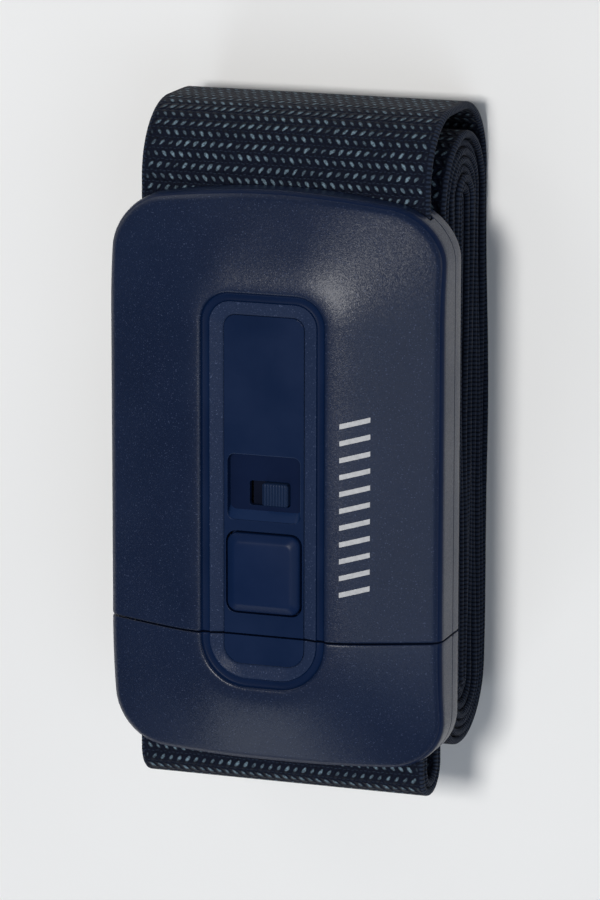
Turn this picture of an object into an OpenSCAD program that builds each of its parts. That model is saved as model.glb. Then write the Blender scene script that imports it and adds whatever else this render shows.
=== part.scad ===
// Luggage strap, 50 mm wide, with a two-part push-button buckle.
// The strap lies on its back: the wound webbing is below, the buckle's face looks up (+Z),
// and the webbing end of the housing points along +Y.

/* [Webbing] */
// Width of the webbing
web_w = 50; // [48:0.5:50]
// Thickness of the webbing
web_t = 1.35; // [1.2:0.05:1.4]
// Distance from one wound layer to the next
layer = 1.45; // [1.45:0.01:1.5]
// Half turns wound on each side of the middle layer
turns = 8; // [6:1:8]
// Straight length of one wound layer
run_l = 82; // [80:1:84]
// Radius of the bend at the top, at the middle of the webbing
wrap_r = 11.5; // [10.5:0.5:12]
// How far the free tail reaches past the middle of the strap
tail_y = 8; // [0:1:20]

/* [Buckle] */
// Width of the buckle
buckle_w = 58; // [57:0.5:60]
// Length of the closed buckle
buckle_l = 96; // [94:1:98]
// Length of the housing, from its webbing end to the parting line
housing_l = 73.6; // [73:0.1:74]
// Radius of the buckle's corners
corner_r = 9; // [8:0.5:10]
// How far the webbing end of the housing curves back, at 16 mm from the middle
end_bow = 1.1; // [0:0.1:1.5]
// Gap between housing and tongue at the parting line
parting_gap = 0.3; // [0.2:0.05:0.4]
// Wall thickness of the shells
wall = 1.5; // [1.4:0.1:1.6]
// Thickness of the back shells' floors
floor_t = 1.8; // [1.6:0.1:1.8]

/* [Face] */
// Width of the smooth panel
panel_w = 13.9; // [13.7:0.1:14.2]
// Length of the smooth panel, over both halves
panel_l = 58.6; // [58:0.1:59]
// Width of the matt ring that slopes down to the panel
ring_w = 2.3; // [2:0.1:2.5]
// Width of the smooth groove round the ring
groove_w = 1.45; // [1.2:0.05:1.6]
// Width of the release button
button_w = 12.6; // [12:0.1:12.6]
// Length of the release button
button_l = 13.3; // [13:0.1:13.4]
// Travel of the lock slider
lock_travel = 2.2; // [1.8:0.1:2.2]

/* [Hidden] */
$fn = 48;
corner_steps = 8;

// Heights of the wound webbing, counted from the surface it lies on
hank_h = 2 * turns * layer;
feed_z = hank_h + layer / 2;
tail_z = feed_z + layer;
buckle_z = hank_h + 2 * layer + 0.2;

// Places along the buckle
top_y = 45;
bottom_y = top_y - buckle_l;
part_y = top_y - housing_l;
housing_end = part_y + parting_gap / 2;
tongue_start = part_y - parting_gap / 2;
panel_top = 25;
panel_bottom = panel_top - panel_l;

// Heights on the buckle, counted from its back
seam_z = 4;
side_z = 8.6;
crown_z = 16.3;
panel_z = 15.4;
panel_t = 1.6;
ridge_z = 16.1;
groove_z = 15.65;
roof_z = 12.6;

// Release button, pocket and lock slider
button_y = -18.05;
button_z = 16.4;
flange_z0 = 12.4;
flange_z1 = 13.7;
pocket_w = 12.6;
pocket_top = 1.8;
pocket_bottom = -9.2;
pocket_floor = 14.2;
slot_x0 = -2.85;
slot_x1 = 4.15;
slot_y0 = -6.85;
slot_y1 = -2.75;
keeper_z = 12;
knob_w = 4.45;
knob_l = 3.8;
knob_x = slot_x1 - 0.1 - knob_w;
knob_y = slot_y0 + 0.15;

// Fork of the tongue and the latch that holds it
prong_x0 = 5;
prong_x1 = 17;
prong_z0 = 5.2;
prong_z1 = 8.2;
prong_tip = 8;
tooth_y0 = -17;
tooth_y1 = -14.2;
tooth_z = 6.9;
leaf_z = 4.2;
leaf_t = 0.6;
spring_y = -21;
spring_base = 3;
spring_top = 14.4;

// Webbing in the housing and in the tongue
bar_gap = 0.05;
anchor_r = 1.25;
anchor_y = 16;
anchor_main_z = 5.05;
anchor_loop_r = anchor_r + bar_gap + web_t / 2;
anchor_z = anchor_main_z + anchor_loop_r;
sewn_y0 = anchor_y + 6;
sewn_y1 = 37.5;
adjuster_r = 1.6;
adjuster_y = -41.5;
adjuster_z = 5.675;
adjuster_loop_r = adjuster_r + bar_gap + web_t / 2;
main_z = adjuster_z + layer / 2;
back_z = adjuster_z - layer / 2;

// The fold below the tongue joins the feed layer to the webbing in the tongue
fold_r = (buckle_z + main_z - feed_z) / 2;
fold_z = feed_z + fold_r;
wrap_top = buckle_z + anchor_main_z;
end_y = top_y + wrap_r + web_t / 2;
fold_y = fold_r + web_t / 2 - end_y;

// Screws
screw_r = 1.2;
screw_head_r = 2.2;
screw_clear = 0.15;
housing_screw_x = 21.5;
housing_screw_y = [7, -22];
tongue_screw_x = 20.5;
tongue_screw_y = -33.1;

// Colours
shell_navy = [0.13, 0.15, 0.25];
smooth_navy = [0.06, 0.10, 0.24];
inner_black = [0.08, 0.08, 0.09];
webbing_navy = [0.05, 0.07, 0.13];
steel = [0.70, 0.71, 0.73];
thread = [0.10, 0.13, 0.20];

// One rounded corner, counter-clockwise from angle a0
function corner(x, y, r, a0) = [for (k = [0:corner_steps])
    [x + r * cos(a0 + 90 * k / corner_steps), y + r * sin(a0 + 90 * k / corner_steps)]];

// Outline of width w from y0 to y1, with its own corner radius at each end
function outline(w, y0, y1, r0, r1) = concat(
    corner(w / 2 - r1, y1 - r1, r1, 0),
    corner(r1 - w / 2, y1 - r1, r1, 90),
    corner(r0 - w / 2, y0 + r0, r0, 180),
    corner(w / 2 - r0, y0 + r0, r0, 270));

// The same outline with more places along the +Y end, which curves back towards the sides
function bowed(w, y0, y1, r) = let (n = 10, half = w / 2 - r)
    let (end = [for (k = [1:n - 1]) [half - 2 * half * k / n, y1]])
    [for (p = concat(corner(half, y1 - r, r, 0), end, corner(-half, y1 - r, r, 90),
        corner(-half, y0 + r, r, 180), corner(half, y0 + r, r, 270)))
        let (share = max(0, (2 * p[1] - y0 - y1) / (y1 - y0)))
        [p[0], p[1] - end_bow * pow(p[0] / 16, 2) * share * share]];

module slab(w, y0, y1, r0, r1, z0, z1) {
    translate([0, 0, z0]) linear_extrude(z1 - z0) polygon(outline(w, y0, y1, r0, r1));
}

module shell_slab(w, y0, y1, r, z0, z1) {
    translate([0, 0, z0]) linear_extrude(z1 - z0) polygon(bowed(w, y0, y1, r));
}

module block(x0, x1, y0, y1, z0, z1) {
    translate([x0, y0, z0]) cube([x1 - x0, y1 - y0, z1 - z0]);
}

module both_sides() {
    children();
    mirror([1, 0, 0]) children();
}

// Everything on the buckle is drawn from its back and lifted onto the wound webbing
module on_hank() {
    translate([0, 0, buckle_z]) children();
}

// A flat profile in the Y-Z plane, drawn out along X
module across(w) {
    rotate([90, 0, 90]) translate([0, 0, -w / 2]) linear_extrude(w) children();
}

// Straight webbing between two places, at a height of its middle
module web_strip(y0, y1, z) {
    block(-web_w / 2, web_w / 2, y0, y1, z - web_t / 2, z + web_t / 2);
}

// Webbing that climbs or drops from one height to another
module web_ramp(y0, z0, y1, z1) {
    h = web_t / 2;
    across(web_w) polygon([[y0, z0 - h], [y1, z1 - h], [y1, z1 + h], [y0, z0 + h]]);
}

// Webbing bent round an axis along X; angles start at +Y and turn towards +Z
module web_bend(y, z, r, start, sweep) {
    translate([0, y, z]) rotate([90, 0, 90]) rotate([0, 0, start])
        rotate_extrude(angle = sweep) translate([r - web_t / 2, -web_w / 2]) square([web_t, web_w]);
}

// Half of a round end of the wound webbing
module web_round(y, z, r, start) {
    translate([0, y, z]) rotate([90, 0, 90]) rotate([0, 0, start])
        rotate_extrude(angle = 180) translate([0, -web_w / 2]) square([r, web_w]);
}

// Outside of the closed buckle's front, crowned up to the groove
module crown() {
    hull() {
        shell_slab(buckle_w, bottom_y, top_y, corner_r, 0, side_z);
        shell_slab(buckle_w - 2.2, bottom_y + 1.1, top_y - 1.1, corner_r - 1, 10.3, 10.4);
        slab(23, -38.5, 30, 7, 6, crown_z - 0.1, crown_z);
    }
}

// Space inside the front shells
module hollow() {
    hull() {
        shell_slab(buckle_w - 2 * wall, bottom_y + wall, top_y - wall, corner_r - wall, seam_z - 1, side_z);
        shell_slab(buckle_w - 5.2, bottom_y + 3, top_y - 3, corner_r - 3, 9.9, 10);
        slab(21, -36.5, 27.5, 6, 5, roof_z - 0.1, roof_z);
    }
}

// Groove, sloping ring and seat of the panel, cut from the face
module face_cut() {
    r_w = panel_w + 2 * ring_w;
    g_w = r_w + 2 * groove_w;
    difference() {
        slab(g_w, panel_bottom - ring_w - groove_w, panel_top + ring_w + groove_w, 8, 5,
            groove_z, crown_z + 1);
        slab(r_w, panel_bottom - ring_w, panel_top + ring_w, 6.5, 3.8, groove_z - 1, crown_z + 2);
    }
    hull() {
        slab(panel_w, panel_bottom, panel_top, 2.75, 2, panel_z, panel_z + 0.01);
        slab(r_w, panel_bottom - ring_w, panel_top + ring_w, 6.5, 3.8, ridge_z, crown_z + 1);
    }
    slab(panel_w, panel_bottom, panel_top, 2.75, 2, panel_z - panel_t, panel_z + 1);
}

// Outside of the closed buckle's back, with a bevelled lower edge
module tray() {
    hull() {
        shell_slab(buckle_w - 2.4, bottom_y + 1.2, top_y - 1.2, corner_r - 1.2, 0, 0.1);
        shell_slab(buckle_w, bottom_y, top_y, corner_r, 1.2, seam_z);
    }
}

module half_space(y0, y1, z0, z1) {
    block(-buckle_w, buckle_w, y0, y1, z0, z1);
}

// Hole for a screw from the back, with a seat for its head
module screw_hole(x, y, z1) {
    translate([x, y, -1]) cylinder(h = 2.7, r = screw_head_r + screw_clear);
    translate([x, y, 0]) cylinder(h = z1, r = screw_r + screw_clear);
}

module screw(x, y, z1) {
    translate([x, y, 0]) difference() {
        union() {
            translate([0, 0, 0.3]) cylinder(h = 1.35, r = screw_head_r);
            translate([0, 0, 1.5]) cylinder(h = z1 - 1.5, r = screw_r);
        }
        block(-1.4, 1.4, -0.25, 0.25, 0, 1.1);
        block(-0.25, 0.25, -1.4, 1.4, 0, 1.1);
    }
}

// A straight steel bar along X with bevelled ends
module bar(y, z, r, l) {
    bevel = 0.3;
    translate([0, y, z]) rotate([0, 90, 0]) rotate_extrude()
        polygon([[0, -l / 2], [r - bevel, -l / 2], [r, bevel - l / 2],
            [r, l / 2 - bevel], [r - bevel, l / 2], [0, l / 2]]);
}

module housing_front() {
    color(shell_navy) on_hank() difference() {
        union() {
            difference() {
                intersection() {
                    crown();
                    half_space(housing_end, top_y + 1, seam_z, crown_z + 1);
                }
                intersection() {
                    hollow();
                    half_space(housing_end + wall, top_y, 0, crown_z);
                }
            }
            both_sides() for (y = housing_screw_y)
                translate([housing_screw_x, y, seam_z + 0.1]) cylinder(h = 7.4, r = 2.4);
        }
        face_cut();
        // Room under the panel for the button's flange and the lock slider
        block(-6.35, 6.35, -26, 2.5, roof_z - 1, panel_z);
        // Mouths for the webbing and for the fork
        block(-web_w / 2 - 0.6, web_w / 2 + 0.6, top_y - 8, top_y + 1, seam_z - 1, 6.1);
        block(-prong_x1 - 0.4, prong_x1 + 0.4, part_y - 1, part_y + 4, seam_z - 1, prong_z1 + 0.3);
        both_sides() for (y = housing_screw_y) screw_hole(housing_screw_x, y, 10);
    }
}

module housing_back() {
    ear_x0 = web_w / 2 + 0.4;
    ear_x1 = buckle_w / 2 - wall - 0.5;
    color(shell_navy) on_hank() difference() {
        union() {
            difference() {
                intersection() {
                    tray();
                    half_space(housing_end, top_y + 1, -1, seam_z);
                }
                intersection() {
                    shell_slab(buckle_w - 2 * wall, bottom_y + wall, top_y - wall, corner_r - wall,
                        floor_t, seam_z + 1);
                    half_space(housing_end + wall, top_y, 0, seam_z + 1);
                }
            }
            both_sides() {
                // Ears that hold the anchor bar
                block(ear_x0, ear_x1, anchor_y - 3, anchor_y + 3, floor_t - 0.5, 9);
                // Rails that guide the fork
                block(prong_x1 + 0.4, prong_x1 + 1.6, -24, -4, floor_t - 0.5, prong_z1);
                for (y = housing_screw_y)
                    translate([housing_screw_x, y, 0.2]) cylinder(h = seam_z - 0.2, r = 3.2);
            }
            // Seats of the latch leaf and of the button spring
            block(-9, 9, 2.5, 10, floor_t - 0.5, leaf_z);
            translate([0, spring_y, floor_t - 0.5]) cylinder(h = spring_base - floor_t + 0.5, r = 3);
        }
        both_sides() for (y = housing_screw_y) screw_hole(housing_screw_x, y, 6);
        translate([-buckle_w, anchor_y, anchor_z]) rotate([0, 90, 0])
            cylinder(h = 2 * buckle_w, r = anchor_r + bar_gap);
        translate([0, 6, floor_t + 0.3]) cylinder(h = 6, r = 1.1);
    }
}

// The smooth inset panel, with the lock pocket, its slot and the button's hole
module face_panel() {
    color(smooth_navy) on_hank() difference() {
        union() {
            intersection() {
                slab(panel_w - 0.1, panel_bottom, panel_top - 0.05, 2.7, 1.95, panel_z - panel_t, panel_z);
                half_space(housing_end, top_y, 0, crown_z);
            }
            block(-6.25, 6.25, pocket_bottom - 0.9, pocket_top + 0.6,
                pocket_floor - 0.9, panel_z - panel_t + 0.1);
        }
        slab(button_w + 0.6, button_y - button_l / 2 - 0.3, button_y + button_l / 2 + 0.3, 1.9, 1.9,
            0, crown_z);
        across(pocket_w - 0.8) polygon([[pocket_top, panel_z + 1], [pocket_top, pocket_floor],
            [pocket_bottom + 1.5, pocket_floor], [pocket_bottom, panel_z + 0.01],
            [pocket_bottom, panel_z + 1]]);
        block(slot_x0, slot_x1, slot_y0, slot_y1, 0, crown_z);
    }
}

module housing_screws() {
    color(steel) on_hank() both_sides() for (y = housing_screw_y) screw(housing_screw_x, y, 9.5);
}

module release_button() {
    y0 = button_y - button_l / 2;
    y1 = button_y + button_l / 2;
    color(smooth_navy) on_hank() difference() {
        union() {
            hull() {
                slab(button_w, y0, y1, 1.6, 1.6, flange_z1 - 0.1, button_z - 0.9);
                slab(button_w - 2.6, y0 + 1.3, y1 - 1.3, 1, 1, button_z - 0.1, button_z);
            }
            block(-6, 6, y0 - 0.9, y1 + 0.8, flange_z0, flange_z1);
            // Foot that pushes the latch leaf down between the prongs
            block(-3, 3, tooth_y0, tooth_y1, tooth_z + 0.05, flange_z0 + 0.1);
            // Lug that the lock slider stops
            block(-6, -3.6, y1 - 0.5, y1 + 2, flange_z0 - 1.2, flange_z0 + 0.1);
        }
        translate([0, spring_y, flange_z0 - 1]) cylinder(h = spring_top - flange_z0 + 1, r = 2.8);
    }
}

// Coil spring as one tube swept along its helix
module button_spring() {
    coils = 6;
    steps = 16;
    sides = 6;
    wire_r = 0.3;
    mid_r = 2.1;
    rise = spring_top - spring_base - 2 * wire_r - 0.1;
    rings = coils * steps;
    function along(i) = spring_base + wire_r + 0.05 + rise * i / rings;
    function ring(i) = let (a = 360 * i / steps) [for (s = [0:sides - 1])
        let (b = 360 * s / sides, r = mid_r + wire_r * cos(b))
        [r * cos(a), r * sin(a), along(i) + wire_r * sin(b)]];
    points = [for (i = [0:rings]) each ring(i)];
    walls = [for (i = [0:rings - 1], s = [0:sides - 1])
        let (a = i * sides + s, b = i * sides + (s + 1) % sides)
        each [[a, a + sides, b], [b, a + sides, b + sides]]];
    color(steel) on_hank() translate([0, spring_y, 0]) polyhedron(points, concat(walls,
        [[for (s = [0:sides - 1]) s]],
        [[for (s = [0:sides - 1]) rings * sides + sides - 1 - s]]));
}

module lock_slider() {
    rib_n = 6;
    rib_pitch = knob_w / rib_n;
    notch_x = 1.8;
    color(smooth_navy) on_hank() difference() {
        union() {
            block(knob_x, knob_x + knob_w, knob_y, knob_y + knob_l, 12.5, 15.2);
            block(-2.6, 6.1, -8.2, -1.4, 12.1, pocket_floor - 1);
            // Tab that swings under the button's lug
            block(-1.2, 1.6, -9.1, -7.5, 9.6, 12.2);
        }
        for (i = [1:rib_n - 1])
            block(knob_x + i * rib_pitch - 0.12, knob_x + i * rib_pitch + 0.12,
                knob_y - 1, knob_y + 5, 14.9, 16);
        // Two notches where the detent spring holds the slider
        for (x = [notch_x, notch_x + lock_travel])
            translate([x, -1.4, 12]) rotate([0, 0, 45]) translate([-0.4, -0.4, 0]) cube([0.8, 0.8, 2]);
    }
}

// Plate under the slider, held by two pins to the housing's roof
module slider_keeper() {
    color(inner_black) on_hank() {
        block(-9, 9, slot_y0 - 0.4, pocket_top, keeper_z - 0.6, keeper_z);
        for (x = [-7.7, 7.7], y = [slot_y0 + 1, 0.3])
            translate([x, y, keeper_z - 0.1]) cylinder(h = roof_z - keeper_z + 0.1, r = 0.9);
    }
}

// Thin steel strip with a bump that rests in the slider's notch
module slider_spring() {
    bump = 1.8;
    color(steel) on_hank() translate([0, 0, 12.1]) linear_extrude(1) polygon([
        [-6.1, -0.6], [bump - 0.9, -1.2], [bump, -1.6], [bump + 0.9, -1.2],
        [6.1, -0.6], [6.1, -0.3], [bump, -1], [-6.1, -0.3]]);
}

// Spring-steel leaf whose tooth stands in the notches under both prongs
module latch_leaf() {
    z = leaf_z;
    color(steel) on_hank() difference() {
        across(20) polygon([[9.5, z], [tooth_y0 + 0.6, z], [tooth_y0, z + 0.6], [tooth_y1 - leaf_t, tooth_z],
            [tooth_y1, tooth_z], [tooth_y1, z + leaf_t], [9.5, z + leaf_t]]);
        translate([0, 6, z - 1]) cylinder(h = 4, r = 1.1);
    }
}

module leaf_screw() {
    color(steel) on_hank() translate([0, 6, 0]) difference() {
        union() {
            translate([0, 0, floor_t + 0.4]) cylinder(h = 3, r = 1);
            translate([0, 0, leaf_z + leaf_t]) cylinder(h = 1.3, r = 2.3);
        }
        block(-1.6, 1.6, -0.3, 0.3, leaf_z + 1.3, 8);
    }
}

module anchor_bar() {
    color(steel) on_hank() bar(anchor_y, anchor_z, anchor_r, 53.6);
}

// The sewn loop of webbing round the anchor bar, inside the housing
module web_anchor() {
    high = anchor_z + anchor_loop_r;
    sewn = anchor_main_z + layer;
    color(webbing_navy) on_hank() {
        web_strip(anchor_y, top_y, anchor_main_z);
        web_bend(anchor_y, anchor_z, anchor_loop_r, 90, 180);
        web_strip(anchor_y, anchor_y + 1, high);
        web_ramp(anchor_y + 1, high, sewn_y0, sewn);
        web_strip(sewn_y0, sewn_y1, sewn);
    }
}

// Thread of the box stitch through both layers
module anchor_stitches() {
    z = anchor_main_z + layer + web_t / 2;
    stitch_l = 2.2;
    pitch = 3;
    color(thread) on_hank() for (y = [sewn_y0 + 2, sewn_y1 - 2], i = [-7:7])
        translate([i * pitch, y, z]) block(-stitch_l / 2, stitch_l / 2, -0.25, 0.25, 0, 0.25);
}

// The webbing that leaves the housing and bends back round the wound layers
module web_wrap() {
    color(webbing_navy) {
        web_strip(run_l / 2, top_y, web_t / 2);
        web_bend(top_y, web_t / 2 + wrap_r, wrap_r, -90, 90);
        block(-web_w / 2, web_w / 2, end_y - web_t, end_y, web_t / 2 + wrap_r, wrap_top - wrap_r);
        web_bend(top_y, wrap_top - wrap_r, wrap_r, 0, 90);
    }
}

// The wound webbing as one body: the two arms of the winding turn at opposite ends
module web_hank() {
    r = turns * layer;
    color(webbing_navy) {
        block(-web_w / 2, web_w / 2, -run_l / 2, run_l / 2, 0, hank_h);
        web_round(run_l / 2, layer + r, r, -90);
        web_round(-run_l / 2, r, r, 90);
    }
}

// The outermost layer of the winding, which feeds the tongue
module web_feed() {
    color(webbing_navy) web_strip(-run_l / 2, run_l / 2, feed_z);
}

module tongue_front() {
    color(shell_navy) on_hank() difference() {
        intersection() {
            crown();
            half_space(bottom_y - 1, tongue_start, seam_z, crown_z + 1);
        }
        intersection() {
            hollow();
            half_space(bottom_y, tongue_start - wall, 0, crown_z);
        }
        face_cut();
        block(-web_w / 2 - 0.6, web_w / 2 + 0.6, bottom_y - 1, bottom_y + 8, seam_z - 1, 7.5);
        block(-prong_x1 - 0.4, prong_x1 + 0.4, part_y - 4, part_y + 1, seam_z - 1, prong_z1 + 0.3);
    }
}

module tongue_back() {
    color(shell_navy) on_hank() difference() {
        union() {
            difference() {
                intersection() {
                    tray();
                    half_space(bottom_y - 1, tongue_start, -1, seam_z);
                }
                intersection() {
                    shell_slab(buckle_w - 2 * wall, bottom_y + wall, top_y - wall, corner_r - wall,
                        floor_t, seam_z + 1);
                    half_space(bottom_y, tongue_start - wall, 0, seam_z + 1);
                }
            }
            both_sides() translate([tongue_screw_x, tongue_screw_y, 0.2])
                cylinder(h = seam_z - 0.2, r = 3.2);
        }
        both_sides() screw_hole(tongue_screw_x, tongue_screw_y, 6);
    }
}

// The end of the smooth panel that lies on the tongue
module tongue_panel() {
    color(smooth_navy) on_hank() intersection() {
        slab(panel_w - 0.1, panel_bottom + 0.05, panel_top, 2.7, 2, panel_z - panel_t, panel_z);
        half_space(bottom_y, tongue_start, 0, crown_z);
    }
}

// Fork that goes into the housing, with the cross beam and arms that hold the adjuster bar
module tongue_core() {
    beam_y = tongue_start - wall - 0.1;
    arm_x0 = web_w / 2 + 0.4;
    arm_x1 = buckle_w / 2 - wall - 0.5;
    notch_h = 1.9;
    color(inner_black) on_hank() difference() {
        union() {
            block(-arm_x1, arm_x1, beam_y - 5.4, beam_y, seam_z, 9);
            both_sides() {
                prong();
                block(arm_x0, arm_x1, -44.2, beam_y - 1, 3.4, 8);
            }
        }
        // Notches that the latch tooth holds
        block(-12.5, 12.5, tooth_y0 - 3, tooth_y1 + 0.1, prong_z0 - 1, prong_z0 + notch_h);
        both_sides() translate([tongue_screw_x, tongue_screw_y, 0])
            cylinder(h = 12, r = screw_r + screw_clear);
        translate([-buckle_w, adjuster_y, adjuster_z]) rotate([0, 90, 0])
            cylinder(h = 2 * buckle_w, r = adjuster_r + bar_gap);
    }

    // One prong, with a ramp under its tip that pushes the leaf aside, and shallow pockets on top
    module prong() {
        w = prong_x1 - prong_x0;
        translate([(prong_x0 + prong_x1) / 2, 0, 0]) difference() {
            intersection() {
                across(w) polygon([[beam_y - 1, prong_z0], [prong_tip - 6, prong_z0],
                    [prong_tip, prong_z0 + 1.8], [prong_tip, prong_z1], [beam_y - 1, prong_z1]]);
                slab(w, beam_y - 4, prong_tip, 1, 3, 0, prong_z1 + 1);
            }
            for (y = [-25, -14.5, -4])
                slab(w - 3, y, y + 8.5, 1, 1, prong_z1 - 0.9, prong_z1 + 1);
        }
    }
}

module adjuster_bar() {
    color(steel) on_hank() bar(adjuster_y, adjuster_z, adjuster_r, 53.6);
}

module tongue_screws() {
    color(steel) on_hank() both_sides() screw(tongue_screw_x, tongue_screw_y, 9.3);
}

// The webbing from the feed layer, round the fold, into the tongue and over its bar
module web_fold() {
    high = buckle_z + adjuster_z + adjuster_loop_r;
    main = buckle_z + main_z;
    color(webbing_navy) {
        web_strip(fold_y, -run_l / 2, feed_z);
        web_bend(fold_y, fold_z, fold_r, 90, 180);
        web_strip(fold_y, -46, main);
        web_ramp(-46, main, -43, high);
        web_strip(-43, adjuster_y, high);
        web_bend(adjuster_y, buckle_z + adjuster_z, adjuster_loop_r, -90, 180);
    }
}

// The free tail: back out of the tongue, round the inside of the fold, then under the buckle
module web_tail() {
    low = buckle_z + adjuster_z - adjuster_loop_r;
    back = buckle_z + back_z;
    color(webbing_navy) {
        web_strip(-43, adjuster_y, low);
        web_ramp(-46, back, -43, low);
        web_strip(fold_y, -46, back);
        web_bend(fold_y, fold_z, fold_r - layer, 90, 180);
        web_strip(fold_y, tail_y, tail_z);
    }
}

housing_front();
housing_back();
face_panel();
housing_screws();
release_button();
button_spring();
lock_slider();
slider_keeper();
slider_spring();
latch_leaf();
leaf_screw();
anchor_bar();
web_anchor();
anchor_stitches();
web_wrap();
web_hank();
web_feed();
tongue_front();
tongue_back();
tongue_panel();
tongue_core();
adjuster_bar();
tongue_screws();
web_fold();
web_tail();
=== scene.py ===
import math

import bmesh
import bpy
from mathutils import Matrix, Vector


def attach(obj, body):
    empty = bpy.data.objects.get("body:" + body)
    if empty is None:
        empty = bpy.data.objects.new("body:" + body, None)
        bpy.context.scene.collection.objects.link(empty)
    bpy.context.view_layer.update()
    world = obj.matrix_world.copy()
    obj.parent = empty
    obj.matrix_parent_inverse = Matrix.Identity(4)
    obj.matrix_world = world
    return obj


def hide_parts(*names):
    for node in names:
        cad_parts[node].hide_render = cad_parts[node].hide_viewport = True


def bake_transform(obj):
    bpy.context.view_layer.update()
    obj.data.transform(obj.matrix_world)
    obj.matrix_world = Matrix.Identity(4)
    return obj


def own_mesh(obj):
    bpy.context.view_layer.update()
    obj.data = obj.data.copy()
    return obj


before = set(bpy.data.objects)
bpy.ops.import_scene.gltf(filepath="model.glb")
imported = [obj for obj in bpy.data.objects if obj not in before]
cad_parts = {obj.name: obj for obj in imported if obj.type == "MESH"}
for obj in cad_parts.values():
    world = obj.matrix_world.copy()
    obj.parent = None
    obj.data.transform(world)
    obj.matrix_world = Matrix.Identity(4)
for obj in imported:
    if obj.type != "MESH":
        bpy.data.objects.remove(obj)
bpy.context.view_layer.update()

MM = 0.001

# ---------------------------------------------------------------- sizes, in millimetres
# +X is the buckle's right, +Y the end where the webbing is fixed, +Z out of its face.
# Heights on the buckle count from its back, which lies BUCKLE_Z above the floor.
BUCKLE_Z = 26.3
TOP, BOTTOM = 45.0, -51.0  # ends of the buckle
HALF_W = 29.0
CORNER_R = 8.8
END_BOW = 1.1  # how far the +Y end curves back, at 16 mm from the middle
PART = -28.6  # parting line of housing and tongue
GAP = 0.17  # half of the gap there
SEAM = 4.0  # height where the back shells meet the front ones
FLOOR = 1.8  # thickness of the back shells' floors
WALL = 1.6
EDGE_R = 2.6  # rounding between the crown and the side

PANEL = (6.95, -33.6, 25.0)  # the smooth panel's half width, lower end and upper end
PANEL_Z = 15.4
PANEL_T = 1.6
RING_W = 2.3  # width of the matt ring round it
CREST = 4.2  # how far outside the panel the crown is highest
CREST_Z = 16.4
ROOF = 12.6  # ceiling inside the housing
POCKET = (6.3, -9.2, 1.8)  # the slider's pocket, as PANEL
POCKET_Z = 14.2
SLOT = (-2.85, 4.15, -6.85, -2.75)  # sides and ends of the slot in the pocket's floor
BUTTON = (6.3, -24.7, -11.4)  # the release button, as PANEL
SPRING_Y = -21.0
SPRING_BASE, SPRING_TOP = 3.0, 14.4

WEB_W, WEB_T = 50.0, 1.28
LAYER = 1.45  # from one wound layer to the next
RUN = 41.0  # half length of a layer's straight stretch
TURNS = 8  # layers on each side of the middle one
HANK_MID = (TURNS + 0.5) * LAYER - 0.06
FEED_Z = HANK_MID + TURNS * LAYER  # the outermost layer, which feeds the tongue
FLECK_PITCH, ROW_PITCH = 1.48, 1.78  # of the weave

TOP_BEND = 11.5  # radius of the bend from the winding up to the housing
ANCHOR_Y, ANCHOR_MAIN = 16.0, 5.05  # place of the anchor bar, height of the webbing that leads to it
ANCHOR_LOOP = 1.975  # radius of the webbing round that bar
ADJUSTER_Y, ADJUSTER_Z = -41.5, 5.675  # place of the adjuster bar
ADJUSTER_LOOP = 2.325
FOLD_R = (BUCKLE_Z + ADJUSTER_Z - 2 * TURNS * LAYER) / 2  # radius of the bend up into the tongue
FOLD_Y = FOLD_R - TOP - TOP_BEND  # so it reaches as far down as the top bend reaches up
TAIL_Y = 8.0  # where the free tail ends


# ---------------------------------------------------------------- mesh helpers
def mesh_object(name, verts, faces, lift=0.0, sharp=35):
    mesh = bpy.data.meshes.new(name)
    mesh.from_pydata([(x * MM, y * MM, (z + lift) * MM) for x, y, z in verts], [], faces)
    mesh.validate()
    obj = bpy.data.objects.new(name, mesh)
    bpy.context.scene.collection.objects.link(obj)
    shade(obj, sharp)
    return obj


def shade(obj, sharp=35):
    mesh = obj.data
    mesh.polygons.foreach_set("use_smooth", [True] * len(mesh.polygons))
    mesh.set_sharp_from_angle(angle=math.radians(sharp))
    mesh.update()


def corner_loop(hw, y0, y1, r0, r1, bow=0.0, n_corner=36, n_end=14, n_side=44):
    """Rounded outline, counter-clockwise, with a corner radius for each end. bow curves the +Y end back."""
    pts = []
    corners = [
        (hw - r1, y1 - r1, r1, 0, n_end),
        (r1 - hw, y1 - r1, r1, 90, n_side),
        (r0 - hw, y0 + r0, r0, 180, n_end),
        (hw - r0, y0 + r0, r0, 270, n_side),
    ]
    for k, (cx, cy, r, a0, n) in enumerate(corners):
        for i in range(n_corner + 1):
            a = math.radians(a0 + 90 * i / n_corner)
            pts.append((cx + r * math.cos(a), cy + r * math.sin(a)))
        nx, ny, nr, na, _ = corners[(k + 1) % 4]
        start = pts[-1]
        end = (nx + nr * math.cos(math.radians(na)), ny + nr * math.sin(math.radians(na)))
        for i in range(1, n):
            f = i / n
            pts.append((start[0] + (end[0] - start[0]) * f, start[1] + (end[1] - start[1]) * f))
    if not bow:
        return pts
    mid = (y0 + y1) / 2
    out = []
    for x, y in pts:
        drop = bow * (x / 16.0) ** 2
        share = max(0.0, (y - mid) / (y1 - mid))
        out.append((x, y - drop * share * share))
    return out


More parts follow.
